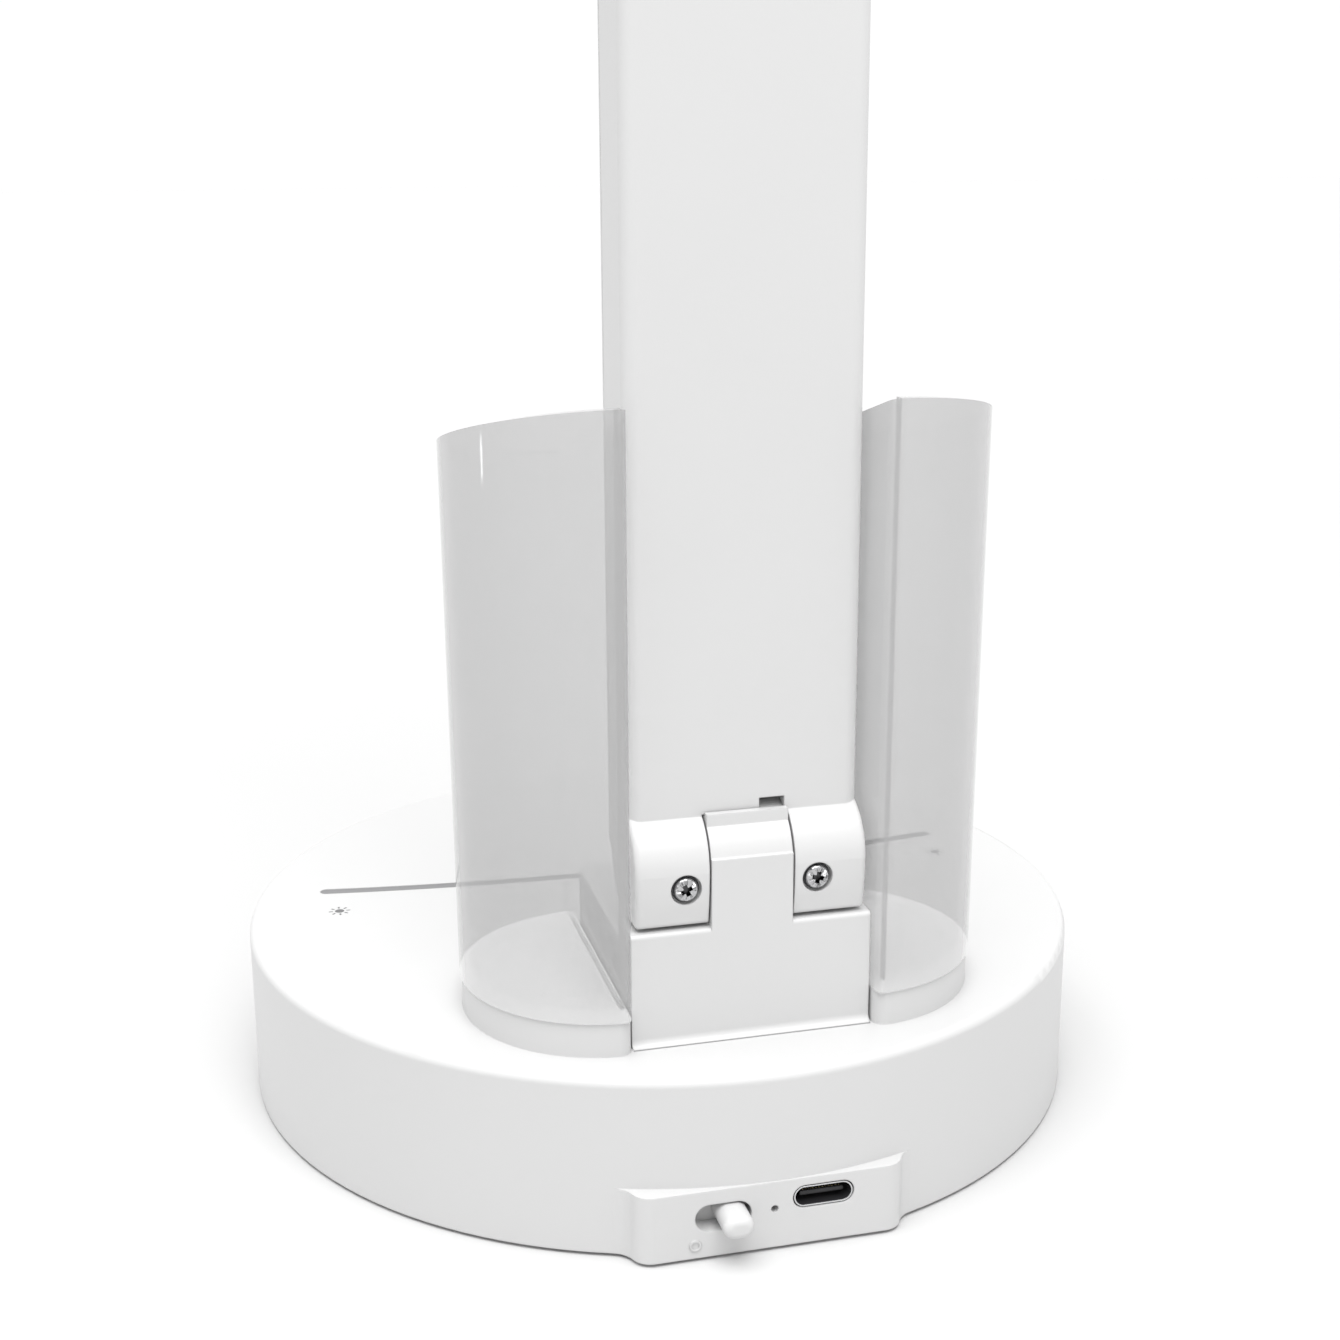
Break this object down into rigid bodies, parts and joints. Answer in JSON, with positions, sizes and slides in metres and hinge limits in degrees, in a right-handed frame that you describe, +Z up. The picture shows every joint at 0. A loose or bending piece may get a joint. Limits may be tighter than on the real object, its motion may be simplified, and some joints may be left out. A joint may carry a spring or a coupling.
{
  "type": "desk lamp with pen cups",
  "caption": "Rechargeable LED desk lamp: round base with two half-round pen cups, a flat stem that folds forward on a barrel hinge, and a flat folding lamp head.",
  "frame": {"origin": "centre of the foot pad's underside, on the round base's axis", "axes": "+Z up along the base's axis; -Y towards the lamp's front, where the head reaches out; +Y towards the rear with the ports; X along both hinge axes"},
  "size_m": [0.14, 0.2694, 0.344],
  "materials": {
    "shell_white": "satin white moulded plastic",
    "cup_smoke": "translucent smoke-grey moulded plastic",
    "pad_rubber": "matt anti-slip rubber",
    "plate_grey": "fine-grained plastic",
    "steel_plain": "plain turned steel",
    "screw_chrome": "bright plated",
    "cell_wrap": "shrink-wrapped can",
    "tab_nickel": "nickel strip",
    "cradle_black": "matt",
    "board_green": "solder mask",
    "socket_steel": "formed steel shell",
    "switch_black": "matt",
    "led_clear": "clear resin",
    "strip_grey": "smooth dark grey inlay",
    "icon_grey": "printed inlay",
    "nylon": "plain nylon",
    "ribbon_white": "flat flexible cable",
    "diffuser_opal": "opal sheet",
    "led_board_alu": "white-coated aluminium"
  },
  "bodies": {
    "base": {"base_shell": "shell_white", "bottom_plate": "plate_grey", "foot_pad": "pad_rubber", "bottom_screws": "steel_plain", "ballast_disc": "steel_plain", "ballast_screws": "steel_plain", "battery_cradle": "cradle_black", "battery_cell": "cell_wrap", "battery_tabs": "tab_nickel", "main_board": "board_green", "board_screws": "steel_plain", "usb_socket": "socket_steel", "switch_body": "switch_black", "charge_led": "led_clear", "touch_strip": "strip_grey", "touch_icons": "icon_grey", "touch_board": "board_green", "hinge_bracket": "shell_white", "bracket_screws": "steel_plain", "hinge_pin": "steel_plain", "pen_cup_left": "cup_smoke", "pen_cup_right": "cup_smoke"},
    "switch": {"switch_knob": "shell_white"},
    "stem": {"stem_rear_shell": "shell_white", "stem_front_cover": "shell_white", "stem_stiffener": "steel_plain", "ribbon_cable": "ribbon_white", "stem_bushes": "nylon", "hinge_caps": "shell_white", "clamp_screws": "screw_chrome", "head_pin": "steel_plain", "head_pin_caps": "shell_white"},
    "head": {"head_shell": "shell_white", "head_bush": "nylon", "head_washers": "steel_plain", "head_diffuser": "diffuser_opal", "led_board": "led_board_alu", "led_chips": "led_clear"}
  },
  "joints": [
    {"name": "switch_slide", "type": "slide", "parent": "base", "child": "switch", "axis": [1, 0, 0], "range_m": [0, 0.0026]},
    {"name": "stem_fold", "type": "hinge", "parent": "base", "child": "stem", "pos_m": [0, 0.0489, 0.054], "axis": [1, 0, 0], "range_deg": [0, 90]},
    {"name": "head_tilt", "type": "hinge", "parent": "stem", "child": "head", "pos_m": [0, 0.0352, 0.334], "axis": [1, 0, 0], "range_deg": [-90, 90]}
  ]
}
